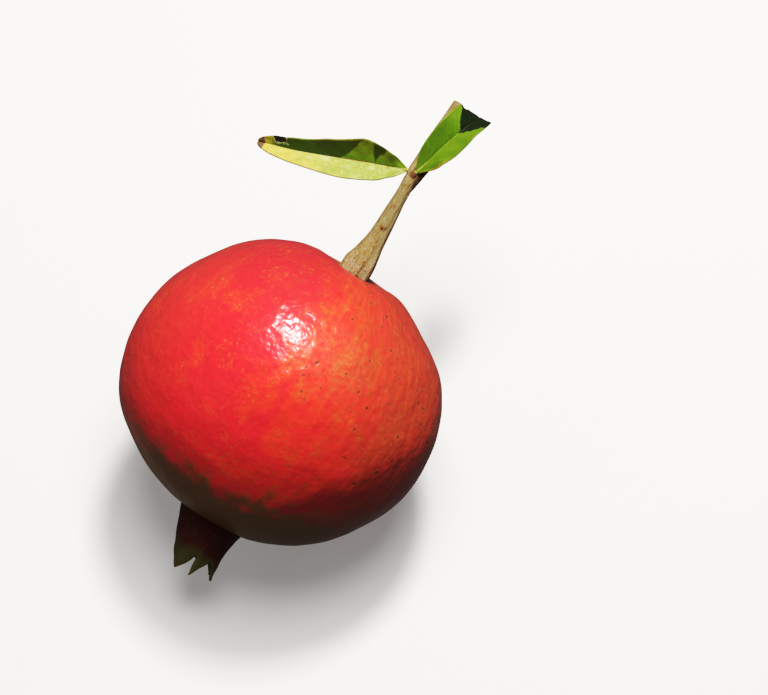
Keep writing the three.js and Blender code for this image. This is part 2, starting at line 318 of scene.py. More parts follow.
def fillSockets(body):
    def inSocket(face):
        spot = (toGrown @ face.center) / mm
        middle, reach = rind["twigSocket"] if spot.z > 0 else rind["crownSocket"]
        return abs(spot.z) > 25 and math.hypot(spot.x - middle, spot.y) < reach

    chooseFaces(body, inSocket)
    bpy.ops.mesh.delete(type="FACE")
    bpy.ops.mesh.select_all(action="SELECT")
    bpy.ops.mesh.fill_holes(sides=0)
    bpy.ops.object.mode_set(mode="OBJECT")


def makeRind():
    body = mergedCopy("fruit", "body")
    fillSockets(body)
    pick(body)
    bpy.ops.mesh.primitive_cube_add(size=rind["castRadius"] * mm, location=fruitMiddle,
                                    rotation=grownTurn.to_euler())
    piece = bpy.context.object
    piece.name = "rind"
    bpy.ops.object.mode_set(mode="EDIT")
    bpy.ops.mesh.subdivide(number_cuts=rind["cuts"])
    bpy.ops.object.mode_set(mode="OBJECT")
    addModifier(piece, "CAST", cast_type="SPHERE", factor=1, use_radius_as_size=False,
                size=rind["castRadius"] * mm)
    addModifier(piece, "SHRINKWRAP", target=body)
    addModifier(piece, "SMOOTH", factor=0.5, iterations=2)
    addModifier(piece, "SUBSURF", levels=2, render_levels=2)
    applyModifiers(piece)
    bpy.ops.object.transform_apply(location=True, rotation=True, scale=True)
    bpy.ops.object.shade_smooth()
    bpy.data.objects.remove(body)

    def relief(spot):
        height = grownPoint(*spot).z / mm
        depth = sum(amount * noise.noise(spot / size) for size, amount in rind["swells"])
        for *middle, width, dip in rind["dips"]:
            depth -= dip * math.exp(-(((spot - Vector(middle)).length / width) ** 2))
        depth -= rind["lean"][spot.x > 0] * spot.x * smoothStep(20, 32, spot.z)
        return depth * smoothStep(*rind["settled"], height) - rind["sink"]

    pushOut(piece, relief)
    handIn(piece, "fruit", "rind", rindFinish())
    print("rind made")


def rindFinish():
    s = Sheet("rindFinish", Coat_Weight=0.4, Coat_Roughness=0.5)
    spot = s.grownPlace()
    x, y, z = s.split(spot)
    outward = (x * x + y * y).maths("SQRT").maths("MAXIMUM", 6.0)
    # noise on these places runs in streaks from the twig to the crown
    meridian = s.join(x / outward * 40, y / outward * 40, z * 0.2)
    streaks = s.clouds(meridian, 0.3, detail=5, roughness=0.6, distortion=0.3)
    broad = s.clouds(spot, 0.05, detail=2)
    patches = s.clouds(spot, 0.17, detail=4, roughness=0.6)
    mottle = s.clouds(spot, 0.75, detail=4, roughness=0.6)
    loose = s.shaken(spot, 0.9, 1.1)    # for marks that aren't quite round
    waist = 1 - z.maths("ABSOLUTE").between(20, 34)
    # painted sheen: an orange and pale haze beside the glint
    paintedSheen = 1 - s.distanceTo(spot, rind["paintedSheen"]).between(3, 13)

    # one cheek is crimson and the other, with the shoulder by the twig, orange
    tone = ((x.maths("MAXIMUM", -14.0) + z.maths("MINIMUM", 0.0) * 0.6) * 0.018 - 0.1
            + (broad - 0.5) * 1.1 + (patches - 0.5) * 1.8 + paintedSheen * 0.25
            + (streaks - 0.5) * waist * 1.4)
    skin = s.mix(tone.between(-0.45, 0.1), rind["crimson"], rind["scarlet"])
    skin = s.mix((tone + (mottle - 0.5) * 1.2).between(-0.05, 0.8) * 0.9, skin, rind["orange"])
    skin = s.mix((mottle * 0.5 + streaks * 0.5).between(0.5, 0.66) * 0.26, skin, rind["deep"])
    # the shoulder by the twig a darker rose, the darkness partly painted shade
    shoulder = (z + (patches - 0.5) * 12).between(4, 34) * (1 - x.between(-12, 10))
    # the far cheek duller, and darker as painted shade
    farCheek = (x + z * 0.55 + (patches - 0.5) * 12).between(10, 32)
    skin = s.mix(shoulder * 0.7, skin, rind["rose"])
    skin = s.mix(farCheek * 0.6, skin, rind["dull"])

    # soft yellow spots all over, and khaki specks in clusters
    spots = s.dots(loose, 0.8, 0.46, 0.6) * (patches + mottle * 0.5).between(0.62, 0.86)
    grainy = mottle.between(0.5, 0.72) * patches.between(0.4, 0.58)
    skin = s.mix((spots * 0.2).maths("MAXIMUM", grainy * 0.3), skin, rind["yellow"])
    ring = (z * -1 + x * 0.2 + (broad - 0.5) * 30).between(8, 24)
    clusters = (patches * 0.5 + streaks * 0.5 + ring * 0.14).between(0.48, 0.6)
    specks = s.dots(loose, 1.15, 0.36, 0.6, (7, 3, 1)) * clusters
    skin = s.mix(specks * 0.6, skin, rind["khaki"])

    # olive where the skin runs down to the crown, with a ragged edge; the olive is made dark as
    # painted shade
    down = (z * -1 + x.maths("MAXIMUM", 0.0) * 0.2 + (mottle - 0.5) * 2.5 + (streaks - 0.5) * 5
            + (patches - 0.5) * 12)
    neck = down.between(24.8, 29.4)
    # painted shade: a dark wine red along the lower right, where the lit side turns away from the
    # light
    paintedShadeRed = (x - z * 0.75 + (patches - 0.5) * 10 + (streaks - 0.5) * 8).between(27, 36)
    skin = s.mix(paintedShadeRed * 0.75, skin, rind["paintedShadeRed"])
    # the left cheek duller, and darker as painted shade
    skin = s.mix((x * -1).between(16, 34) * 0.35, skin, rind["dull"])
    skin = s.mix(down.between(20, 27) * patches.between(0.4, 0.6) * 0.35, skin, rind["khaki"])
    skin = s.mix(neck * 0.94, skin, rind["olive"])

    # fine streaks and pale hairlines on the orange side, painted sheen beside the glint, and
    # painted rim sheen above the crown
    fineStreaks = s.clouds(s.shaken(meridian, 0.3, 4), 0.5, detail=4, roughness=0.6)
    orangeSide = (x + z * 0.6 + (patches - 0.5) * 20).between(4, 26) * outward.between(9, 24)
    skin = s.mix(fineStreaks.between(0.44, 0.72) * orangeSide * 0.26, skin, rind["yellow"])
    skin = s.mix((1 - fineStreaks.between(0.3, 0.5)) * orangeSide * 0.32, skin, rind["dull"])
    skin = s.mix(paintedSheen * mottle.between(0.3, 0.6) * 0.1, skin, rind["pale"])
    # painted rim sheen: pale streaks along the lower left edge above the crown
    paintedRimSheen = (fineStreaks.between(0.3, 0.6) * (z * -1).between(21, 28) * (x * -1).between(1, 7)
              * y.between(-21, -12) * (1 - y.between(-6, 3)))
    skin = s.mix(paintedRimSheen * 0.6, skin, rind["rimSheen"])
    hairlines = s.clouds(s.shaken(meridian, 0.4, 3), 1.3, detail=2)
    paleHairlines = hairlines.between(0.58, 0.68) * mottle.between(0.44, 0.56) * x.between(16, 32)
    skin = s.mix(paleHairlines * (1 - paintedShadeRed) * 0.26, skin, rind["pale"])

    # a pale collar round the crown, and a dry rim round the twig with painted shade in the crease
    # beside it
    fromCrown = s.distanceTo(s.join(x, y, 0), (rind["crownSocket"][0], 0, 0))
    collar = (1 - fromCrown.between(9.0, 10.8)) * (z * -1).between(30, 33)
    skin = s.mix(collar * streaks.between(0.3, 0.55) * 0.9, skin, rind["pale"])
    fromTwig = s.distanceTo(s.join(x, y, 0), (rind["twigSocket"][0], 0, 0))
    dry = (1 - (fromTwig + (mottle - 0.5) * 8).between(5, 12)) * z.between(31.5, 34)
    skin = s.mix(dry * streaks.between(0.3, 0.6) * 0.5, skin, rind["khaki"])
    skin = s.mix(dry * 0.16, skin, rind["pale"])
    # painted shade: the crease beside the twig made nearly black
    creaseShade = (1 - (fromTwig - x * 0.3 + (mottle - 0.5) * 2).between(4.4, 5.2)) * z.between(28, 30)
    skin = s.mix(creaseShade * 0.85, skin, rind["pitAndCreaseShade"])

    # dark pits, some with a light rim, on the orange side
    pitZone = (x * 0.03 + z * 0.015 + (broad - 0.5) * 2).between(-0.1, 0.8) * 0.85 + 0.08
    pits = s.dots(loose, 0.6, 0.54, 0.22, (2, 9, 4)) * pitZone
    rims = s.dots(loose, 0.6, 0.95, 0.22, (2, 9, 4)) * pitZone
    skin = s.mix(rims * 0.35, skin, rind["khaki"])
    skin = s.mix(pits * 0.9, skin, rind["pitAndCreaseShade"])

    # the pebbled relief is firmest towards the twig and soft on the far side
    lumps = s.clouds(spot, 0.36, detail=1)
    pebble = s.clouds(spot, 1.0, detail=1, roughness=0.5)
    firm = ((z - x * 0.3).between(-26, 8) * 0.7 + 0.3) * (1 - y.between(10, 30) * 0.5)
    relief = lumps * firm * 1.25 + pebble * firm * 0.34 - pits * 0.12
    s.paint(Base_Color=skin,
            Roughness=0.2 + mottle * 0.08 + neck * 0.15,
            Normal=s.bump(relief, 1.0, 0.3 * mm))
    return s.material


# The crown of sepals

crown = {
    "start": (1.1, 0, -36.4),           # where it leaves the fruit
    "baseRadius": 8.6,
    "tipRadius": 5.5,
    "taper": 1.6,
    "full": 14.4,                       # from the fruit to the longest tip
    "tube": 9.4,                        # from the fruit to the notches
    "drift": 3.1,                       # how far the tips lean aside
    "root": 0.9,                        # how far it stands in its socket
    "sides": 72,
    "rings": (0, 0.5, 1.2, 2.2, 3.4, 4.8, 6.3, 7.9, 9.4),   # how far each is from the fruit
    "wall": 1.15,
    "thinning": (7, 14, 0.45),          # from, to and by what share the wall thins
    "sepals": (                         # start, length, lean, fullness and tip width
        (-95, 5.3, -19, 1.5, 0.01), (3, 4.9, -30, 1.4, 0.03), (42, 3.8, 2, 0.5, 0.22),
        (95, 3.2, 5, 1.0, 0.07), (150, 3.1, -14, 1.2, 0.07), (210, 4.6, 6, 1.0, 0.07)),
    "sepalSteps": (0.16, 0.34, 0.54, 0.74, 0.9, 1),
    "relief": ((1.3, 8, 0.16), (3.5, 3.5, 0.22)),   # width, length and depth of ribs and dents
    "maroon": colour(0.085, 0.018, 0.014),
    "tipGreen": colour(0.105, 0.108, 0.036),
    "dryEdge": colour(0.17, 0.085, 0.035),
}
crownPlace = (grown @ Matrix.Translation(Vector(crown["start"]) * mm)
              @ Matrix.Rotation(math.pi, 4, "X"))


def crownRadius(reach):
    share = min(max(reach / crown["full"], 0), 1)
    flare = (crown["baseRadius"] - crown["tipRadius"]) * (1 - share) ** crown["taper"]
    return crown["tipRadius"] + flare


def crownMiddle(reach):
    return crown["drift"] * (max(reach, 0) / crown["full"]) ** 2


def crownPoint(turn, reach):
    return Vector((crownMiddle(reach) + crownRadius(reach) * math.sin(turn),
                   crownRadius(reach) * math.cos(turn), reach))


def growRing(radius, nextRadius, fromX, toX, rise, height):
    bpy.ops.mesh.extrude_region_move(
        TRANSFORM_OT_translate={"value": ((toX - fromX) * mm, 0, rise * mm)})
    ratio = nextRadius / radius
    bpy.ops.transform.resize(value=(ratio, ratio, 1), center_override=(toX * mm, 0, height * mm))


def growSepal(piece, start, end, length, lean, fullness, tip):
    top, drift = crown["tube"], crownMiddle(crown["tube"])

    def onMargin(spot):
        turn = math.degrees(math.atan2(spot.x - drift * mm, spot.y))
        while turn < start - 0.5:
            turn += 360
        return abs(spot.z - top * mm) < 0.01 * mm and turn < end + 0.5

    choose(piece, onMargin)
    turn = math.radians((start + end) / 2)
    width, middle = 1, crownPoint(turn, top)
    for step in crown["sepalSteps"]:
        reach = top + length * step
        target = crownPoint(turn + math.radians(lean) * step, reach)
        bpy.ops.mesh.extrude_region_move(TRANSFORM_OT_translate={"value": (target - middle) * mm})
        nextWidth = max(1 - step ** fullness, tip if step < 1 else tip / 2)
        ratio = nextWidth / width
        bpy.ops.transform.resize(value=(ratio, ratio, 1), center_override=target * mm)
        middle, width = target, nextWidth


def makeCrown():
    pick(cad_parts["calyx"])
    bpy.ops.mesh.primitive_circle_add(vertices=crown["sides"], radius=crown["baseRadius"] * mm,
                                      location=(0, 0, 0))
    piece = bpy.context.object
    piece.name = "crown"
    bpy.ops.object.mode_set(mode="EDIT")
    bpy.ops.mesh.select_mode(type="VERT")
    bpy.ops.mesh.select_all(action="SELECT")
    bpy.ops.transform.translate(value=(0, 0, -crown["root"] * mm))
    reach = -crown["root"]
    for nextReach in crown["rings"]:
        growRing(crownRadius(reach), crownRadius(nextReach), crownMiddle(reach),
                 crownMiddle(nextReach), nextReach - reach, nextReach)
        reach = nextReach
    starts = [sepal[0] for sepal in crown["sepals"]] + [crown["sepals"][0][0] + 360]
    for (start, *form), end in zip(crown["sepals"], starts[1:]):
        growSepal(piece, start, end, *form)
    bpy.ops.mesh.select_all(action="SELECT")
    bpy.ops.mesh.normals_make_consistent(inside=False)
    bpy.ops.object.mode_set(mode="OBJECT")
    side = piece.data.polygons[0]
    if side.normal.dot(side.center) < 0:
        piece.data.flip_normals()
    thick = piece.vertex_groups.new(name="thick")
    *thinZone, thinShare = crown["thinning"]
    for vertex in piece.data.vertices:
        thinned = smoothStep(*thinZone, vertex.co.z / mm) * thinShare
        thick.add([vertex.index], 1 - thinned, "REPLACE")
    addModifier(piece, "SOLIDIFY", thickness=crown["wall"] * mm, offset=-1, vertex_group="thick")
    addModifier(piece, "SUBSURF", levels=2, render_levels=2)
    applyModifiers(piece)
    bpy.ops.object.shade_smooth()
    place(piece, crownPlace)

    def wither(spot):
        depth = 0
        for width, length, amount in crown["relief"]:
            depth += amount * noise.noise(Vector((spot.x / width, spot.y / width, spot.z / length)))
        return depth * smoothStep(0.2, 3, crown["start"][2] - spot.z)

    pushOut(piece, wither)
    handIn(piece, "calyx", "sepals", crownFinish())
    print("crown made")


def crownFinish():
    s = Sheet("crownFinish", Specular_IOR_Level=0.2)
    spot = s.grownPlace()
    reach = crown["start"][2] - s.split(spot)[2]
    fibres = s.clouds(s.stretch(spot, (1, 1, 0.16)), 1.6, detail=4, roughness=0.6)
    blotches = s.clouds(spot, 0.35, detail=3)
    # dark maroon by the fruit turning green towards the tips; the maroon is made darker as painted
    # shade
    skin = s.mix((reach + (blotches - 0.5) * 6).between(6, 11), crown["maroon"], crown["tipGreen"])
    skin = s.mix(fibres.between(0.5, 0.75) * 0.5, skin, crown["dryEdge"])
    skin = s.mix((reach + (blotches - 0.5) * 3).between(12.2, 14.4) * 0.7, skin, crown["dryEdge"])
    s.paint(Base_Color=skin, Roughness=0.42 + fibres * 0.25,
            Normal=s.bump(fibres + blotches * 0.4, 0.6, 0.3 * mm))
    return s.material


# The dried stamens

tuft = {
    "count": 130,
    "sides": 5,
    "radius": 0.15,
    "rise": 1.1,
    "steps": 6,
    "bend": 0.05,                       # how fast a filament curves over
    "anther": ((0.2, 2.2), (0.5, 1.05), (0.25, 0.3)),   # the rise and the widening of each ring
    "spread": 3.9,
    "moundReach": 0.6,                  # where the pad under the filaments lies, and its radii
    "mound": (6.6, 6.6, 1.0),
    "seed": 11,
    "tan": colour(0.30, 0.15, 0.05),
    "brown": colour(0.09, 0.035, 0.015),
}


def makeFilament():
    bpy.ops.mesh.primitive_circle_add(vertices=tuft["sides"], radius=tuft["radius"] * mm,
                                      fill_type="NGON", location=(0, 0, 0))
    piece = bpy.context.object
    bpy.ops.object.mode_set(mode="EDIT")
    for step in range(tuft["steps"]):
        bend = tuft["bend"] * step * step
        bpy.ops.mesh.extrude_region_move(
            TRANSFORM_OT_translate={"value": (bend * mm, 0, tuft["rise"] * mm)})
    for rise, ratio in tuft["anther"]:
        bpy.ops.mesh.extrude_region_move(TRANSFORM_OT_translate={"value": (0.1 * mm, 0, rise * mm)})
        ring = [piece.matrix_world @ spot for spot in selectedPlaces(piece)]
        tip = sum(ring, Vector()) / len(ring)
        bpy.ops.transform.resize(value=(ratio, ratio, 1), center_override=tip)
    bpy.ops.mesh.select_all(action="SELECT")
    bpy.ops.mesh.normals_make_consistent(inside=False)
    bpy.ops.object.mode_set(mode="OBJECT")
    bpy.ops.object.shade_smooth()
    return piece


def selectedPlaces(piece):
    piece.update_from_editmode()
    return [vertex.co for vertex in piece.data.vertices if vertex.select]


def makeStamens():
    draw = random.Random(tuft["seed"])
    pick(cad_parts["stamens"])
    bpy.ops.mesh.primitive_uv_sphere_add(segments=36, ring_count=16, radius=mm,
                                         location=(0, 0, 0))
    mound = bpy.context.object
    mound.name = "stamenTuft"
    bpy.ops.object.shade_smooth()
    place(mound, crownPlace @ Matrix.Translation((0.1 * mm, 0, tuft["moundReach"] * mm))
          @ Matrix.Diagonal((*tuft["mound"], 1)))
    filament = makeFilament()
    copies = []
    for _ in range(tuft["count"]):
        turn = draw.uniform(0, 2 * math.pi)
        out = tuft["spread"] * math.sqrt(draw.random())
        lean = math.radians(draw.uniform(-14, 6) * out / tuft["spread"] + draw.uniform(-7, 7))
        copy = filament.copy()
        copy.data = filament.data.copy()
        bpy.context.collection.objects.link(copy)
        size = draw.uniform(0.75, 1.15)
        tall = draw.uniform(0.55, 1.0)
        copy.matrix_world = (crownPlace @ Matrix.Rotation(turn, 4, "Z")
                             @ Matrix.Translation((out * mm, 0, (1.2 - out * 0.08) * mm))
                             @ Matrix.Rotation(lean, 4, "Y")
                             @ Matrix.Rotation(math.pi + draw.uniform(-1.1, 1.1), 4, "Z")
                             @ Matrix.Diagonal((size, size, tall, 1)))
        copies.append(copy)
    bpy.data.objects.remove(filament)
    pick(mound, *copies)
    bpy.ops.object.join()
    piece = bpy.context.object
    handIn(piece, "stamens", "stamens", stamenFinish())
    print("stamens made")


def stamenFinish():
    s = Sheet("stamenFinish", Roughness=0.7)
    spot = s.grownPlace()
    age = s.clouds(spot, 0.9, detail=3)
    s.paint(Base_Color=s.mix(age.between(0.38, 0.62), tuft["brown"], tuft["tan"]),
            Normal=s.bump(s.clouds(spot, 6), 0.4, 0.1 * mm))
    return s.material


# The twig

bark = {
    "voxel": 0.2,
    "middle": 0.7,                      # X of the flare's middle line
    "flareEnd": (38, 52),               # the relief weakens between these, to a share
    "upperShare": 0.35,
    "furrows": (3.2, 6, 0.16),          # how close they stand, their length and depth
    "grain": (0.7, 2.6, 0.12),          # width, length and depth
    "scarPlace": (0.75, -2.4, 46.5),
    "budPlace": (0.7, -1.8, 62.1),
    "tan": colour(0.35, 0.255, 0.125),
    "pale": colour(0.51, 0.42, 0.25),
    "brown": colour(0.20, 0.12, 0.052),
    "rust": colour(0.36, 0.17, 0.05),
    "green": colour(0.29, 0.26, 0.14),
    "scar": colour(0.07, 0.018, 0.012),
    "bud": colour(0.13, 0.045, 0.02),
    "shootShade": colour(0.085, 0.05, 0.026),
    "flake": colour(0.66, 0.56, 0.42),
}


def makeTwig():
    piece = mergedCopy("stem", "twig")
    addModifier(piece, "REMESH", mode="VOXEL", voxel_size=bark["voxel"] * mm, use_smooth_shade=True)
    addModifier(piece, "SMOOTH", factor=0.5, iterations=4)
    addModifier(piece, "SUBSURF", levels=1, render_levels=1)
    applyModifiers(piece)
    bpy.ops.object.shade_smooth()

    def fibres(spot):
        turn = math.atan2(spot.y, spot.x - bark["middle"])
        spread, length, depth = bark["furrows"]
        relief = depth * noise.noise(Vector((math.cos(turn) * spread, math.sin(turn) * spread,
                                             spot.z / length)))
        width, length, depth = bark["grain"]
        relief += depth * noise.noise(Vector((spot.x / width, spot.y / width, spot.z / length)))
        return relief * (1 - smoothStep(*bark["flareEnd"], spot.z) * (1 - bark["upperShare"]))

    pushOut(piece, fibres)
    handIn(piece, "stem", "bark", barkFinish())
    print("twig made")


def barkFinish():
    s = Sheet("barkFinish", Roughness=0.75, Specular_IOR_Level=0.3)
    spot = s.grownPlace()
    x, _, z = s.split(spot)
    fibres = s.clouds(s.stretch(spot, (1, 1, 0.22)), 2.6, detail=5, roughness=0.7, distortion=1.0)
    patches = s.clouds(s.stretch(spot, (1, 1, 0.5)), 0.5, detail=4)
    specks = s.clouds(spot, 4.5, detail=3)
    skin = s.ramp(fibres + (patches - 0.5) * 0.4, (0.34, bark["brown"]), (0.5, bark["tan"]),
                  (0.66, bark["pale"]))
    middle = z.between(42, 46) * (1 - z.between(54, 62))
    skin = s.mix((patches + specks * 0.3).between(0.5, 0.78) * middle * 0.7, skin, bark["green"])
    wrinkles = s.clouds(s.stretch(spot, (1, 1, 0.35)), 2.5, detail=4, distortion=1.2)
    flare = 1 - z.between(41, 46)
    skin = s.mix(wrinkles.between(0.5, 0.6) * (flare * 0.7 + z.between(56, 62) * 0.35 + 0.12), skin,
                 bark["rust"])
    skin = s.mix((1 - wrinkles.between(0.38, 0.46)) * 0.3, skin, bark["brown"])
    skin = s.mix(specks.between(0.58, 0.7) * 0.35, skin, bark["brown"])
    # painted light: the right side of the twig made paler
    paintedLightSide = (x - bark["middle"]).between(0.8, 2.0) * (1 - z.between(56, 60))
    skin = s.mix(paintedLightSide * 0.6, skin, bark["pale"])
    flakes = specks.between(0.52, 0.62) * (1 - z.between(35.5, 37.5))
    skin = s.mix(flakes * 0.8, skin, bark["flake"])
    fromScar = s.distanceTo(spot, bark["scarPlace"])
    skin = s.mix((1 - fromScar.between(0.5, 1.2)) * 0.4, skin, bark["rust"])
    skin = s.mix(1 - fromScar.between(0.15, 0.4), skin, bark["scar"])
    fromBud = s.distanceTo(spot, bark["budPlace"])
    skin = s.mix((1 - fromBud.between(0.6, 1.5)) * 0.7, skin, bark["bud"])
    # painted shadow: the side shoot under the right leaf made dark brown
    shadedShoot = (x - (z - 59) * 0.1).between(1.3, 2.2) * z.between(58, 60) * (1 - z.between(66, 68))
    skin = s.mix(shadedShoot * 0.8, skin, bark["shootShade"])
    s.paint(Base_Color=skin, Roughness=0.65 + specks * 0.2,
            Normal=s.bump(fibres * 1.3 + wrinkles * (flare + 0.4) + specks * 0.5, 1.0, 0.35 * mm))
    return s.material


# The leaves

# Each half's widths run from the foot to the tip, the second half towards `across`
leftLeaf = {
    "name": "leafLeft",
    "node": "leaf_left",
    "slot": "leaf_yellowing",
    "across": (0, 0, -1),
    "spine": ((-1.35, -0.5, 62.3), (-9.9, -2.2, 59.15), (-18.8, -2.4, 55.55),
              (-27.75, -0.9, 52.3), (-36.95, 2.4, 49.85)),
    "widths": ((0.55, 3.1, 5.2, 6.5, 5.8, 4.9, 4.2, 3.5, 2.9, 2.4, 0.8),
               (0.55, 2.9, 5.1, 6, 6.5, 6.3, 5.6, 4.9, 4.1, 3, 1.1)),
    "folds": (38, 41),                  # degrees that each half is folded up
    "tipFold": 1,                       # the share of the fold that is left at the tip
    "waves": (4.5, 0.35),               # how many along a margin, and their depth
    "foot": (0.1, -0.2, 62.7),
}
rightLeaf = {
    "name": "leafRight",
    "node": "leaf_right",
    "slot": "leaf_green",
    "across": (-1, 0, 0),
    "spine": ((1.1, -2.15, 63), (3.1, -3.4, 70.1), (5.35, -3.9, 76.8), (6.95, -1.6, 81.2),
              (7.3, 3.2, 83.1), (7.2, 8.9, 83.3), (6.8, 14.4, 81.9)),
    "widths": ((0.55, 3.4, 4.8, 4.8, 4.2, 3.6, 3.3, 3.3, 3.0, 2.0, 0.5),
               (0.55, 3.4, 4.7, 5.3, 5.5, 5.1, 4.1, 3.6, 3.2, 2.2, 0.5)),
    "folds": (42, 22),
    "tipFold": 0.08,
    "waves": (4, 0.3),
    "foot": (0.7, -0.9, 62),
}
blade = {
    "along": 72,
    "acrossCells": 28,
    "nose": 0.955,                      # where the tip starts to round off
    "opening": (0.3, 0.68),             # where along the blade the fold opens
    "thick": 0.42,
    "sink": 0.06,
    "groove": (0.07, 0.16),             # share of the half's width, and depth
    "pillow": 0.05,
    "veins": 9,                         # side veins along the blade
    "ribRadius": 0.42,
    "ribSteps": 24,
    "ribDepth": 0.45,                   # under the upper face, and deeper over the first steps
    "ribDive": 0.065,
    "petiole": colour(0.40, 0.38, 0.11),
    "petioleGreen": colour(0.26, 0.28, 0.06),
}


def smoothThrough(points, share):       # a uniform Catmull-Rom curve with reflected ends
    along = min(max(share, 0), 1) * (len(points) - 1)
    i = min(int(along), len(points) - 2)
    t = along - i
    p1, p2 = points[i], points[i + 1]
    p0 = points[i - 1] if i else p1 * 2 - p2
    p3 = points[i + 2] if i + 2 < len(points) else p2 * 2 - p1
    return (p1 * 2 + (p2 - p0) * t + (p0 * 2 - p1 * 5 + p2 * 4 - p3) * t * t
            + (p1 * 3 - p0 - p2 * 3 + p3) * t * t * t) / 2


def bladePoint(leaf, share, outward, lift=0):
    # outward runs from -1 to 1 across the blade; lift raises the point off its upper face
    spine = [Vector(point) for point in leaf["spine"]]
    centre = smoothThrough(spine, share)
    before, after = max(share - 0.01, 0), min(share + 0.01, 1)
    tangent = (smoothThrough(spine, after) - smoothThrough(spine, before)).normalized()
    face = tangent.cross(Vector(leaf["across"])).normalized()
    across = face.cross(tangent)
    half = 0 if outward < 0 else 1
    side = -1 if outward < 0 else 1
    reach = abs(outward)
    opening = smoothStep(*blade["opening"], share)
    foldShare = min(1, share * 6 + 0.2) * (1 + (leaf["tipFold"] - 1) * opening)
    fold = math.radians(leaf["folds"][half]) * foldShare
    nose = math.sqrt(max(1 - (max(share - blade["nose"], 0) / (1 - blade["nose"])) ** 2, 0.01))
    width = smoothThrough(leaf["widths"][half], share) * reach * nose
    waves, waveDepth = leaf["waves"]
    wave = math.sin(waves * 2 * math.pi * share + side) * math.sin(math.pi * share)
    point = (centre + across * (side * width * math.cos(fold))
             + face * (width * math.sin(fold) + waveDepth * reach ** 2 * wave))
    fromRib = min(1, reach * 2)
    normal = face * math.cos(fold * fromRib) - across * (side * math.sin(fold * fromRib))
    return point + normal * lift


def veinLift(share, outward):           # a groove along the midrib and low pillows between veins
    reach = abs(outward)
    width, depth = blade["groove"]
    groove = depth * math.exp(-((reach / width) ** 2))
    pillow = blade["pillow"] * math.sin((share * blade["veins"] - reach * 1.2) * 2 * math.pi)
    pillow *= smoothStep(0.06, 0.3, reach) * (1 - smoothStep(0.8, 1, reach))
    return pillow - groove - blade["sink"]


def makeRib(leaf):
    curve = bpy.data.curves.new("rib", "CURVE")
    curve.dimensions = "3D"
    curve.bevel_depth = mm
    curve.bevel_resolution = 3
    curve.use_fill_caps = True
    spline = curve.splines.new("POLY")
    steps = blade["ribSteps"]
    spots = [Vector(leaf["foot"])]
    for i in range(steps):
        depth = blade["ribDepth"] + blade["ribDive"] * min(i, 4)
        spots.append(bladePoint(leaf, i / steps, 0, -depth))
    spline.points.add(len(spots) - 1)
    for i, (point, spot) in enumerate(zip(spline.points, spots)):
        point.co = (*grownPoint(*spot), 1)
        share = 1.35 if i < 2 else 1.1 * (1 - i / (steps + 2)) + 0.12
        point.radius = blade["ribRadius"] * share
    piece = bpy.data.objects.new("rib", curve)
    bpy.context.collection.objects.link(piece)
    pick(piece)
    bpy.ops.object.convert(target="MESH")
    bpy.ops.object.shade_smooth()
    return bpy.context.object


def makeLeaf(leaf, finish):
    pick(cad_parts[leaf["node"]])
    bpy.ops.mesh.primitive_grid_add(x_subdivisions=blade["along"],
                                    y_subdivisions=blade["acrossCells"], size=2,
                                    location=(0, 0, 0))
    piece = bpy.context.object
    piece.name = leaf["name"]
    for vertex in piece.data.vertices:
        share, outward = (vertex.co.x + 1) / 2, vertex.co.y
        spot = bladePoint(leaf, share, outward, veinLift(share, outward))
        vertex.co = grownPoint(*spot)
    piece.data.update()
    upper = piece.data.polygons[0]
    if upper.normal.dot(grownTurn @ Vector((0, -1, 0))) < 0:
        piece.data.flip_normals()
    addModifier(piece, "SOLIDIFY", thickness=blade["thick"] * mm, offset=-1)
    addModifier(piece, "SUBSURF", levels=1, render_levels=1)
    applyModifiers(piece)
    bpy.ops.object.shade_smooth()
    rib = makeRib(leaf)
    piece.data.materials.append(finish)
    rib.data.materials.append(ribFinish(leaf["name"]))
    pick(piece, rib)
    bpy.ops.object.join()
    handIn(piece, leaf["node"], leaf["slot"])
    print(leaf["name"], "made")


def ribFinish(name):
    s = Sheet(name + "Rib", Roughness=0.5)
    spot = s.grownPlace()
    streak = s.clouds(spot, 1.2, detail=3)
    s.paint(Base_Color=s.mix(streak.between(0.35, 0.7), blade["petiole"], blade["petioleGreen"]),
            Normal=s.bump(streak, 0.3, 0.1 * mm))
    return s.material


def leafSheet(name):
    s = Sheet(name, Roughness=0.42, Specular_IOR_Level=0.5)
    u, v, _ = s.split(s.add("ShaderNodeTexCoord", output="UV"))
    outward = v * 2 - 1
    reach = outward.maths("ABSOLUTE")
    spot = s.grownPlace()
    wobble = (s.clouds(spot, 0.5, detail=2) - 0.5) * 0.05
    midrib = 1 - reach.between(0.012, 0.04)
    phase = (u * blade["veins"] - reach * 1.2 + wobble * 5).maths("FRACT")
    veins = (1 - (phase - 0.5).maths("ABSOLUTE").between(0.03, 0.1)) * (1 - reach.between(0.75, 1))
    return s, spot, u, outward, reach, midrib, veins


leftLeafColours = {
    "dark": colour(0.052, 0.102, 0.010),
    "lit": colour(0.24, 0.36, 0.025),
    "rim": colour(0.33, 0.36, 0.03),
    "straw": colour(0.44, 0.40, 0.05),
    "yellow": colour(0.57, 0.46, 0.105),
    "lime": colour(0.30, 0.35, 0.078),
    "pale": colour(0.52, 0.50, 0.19),
    "paleEdgeAndSheen": colour(0.60, 0.64, 0.42),
    "rib": colour(0.62, 0.55, 0.30),
    "ribFoot": colour(0.20, 0.11, 0.03),
    "rust": colour(0.20, 0.095, 0.03),
    "deadTip": colour(0.15, 0.115, 0.085),
    "scorch": colour(0.022, 0.013, 0.009),
}


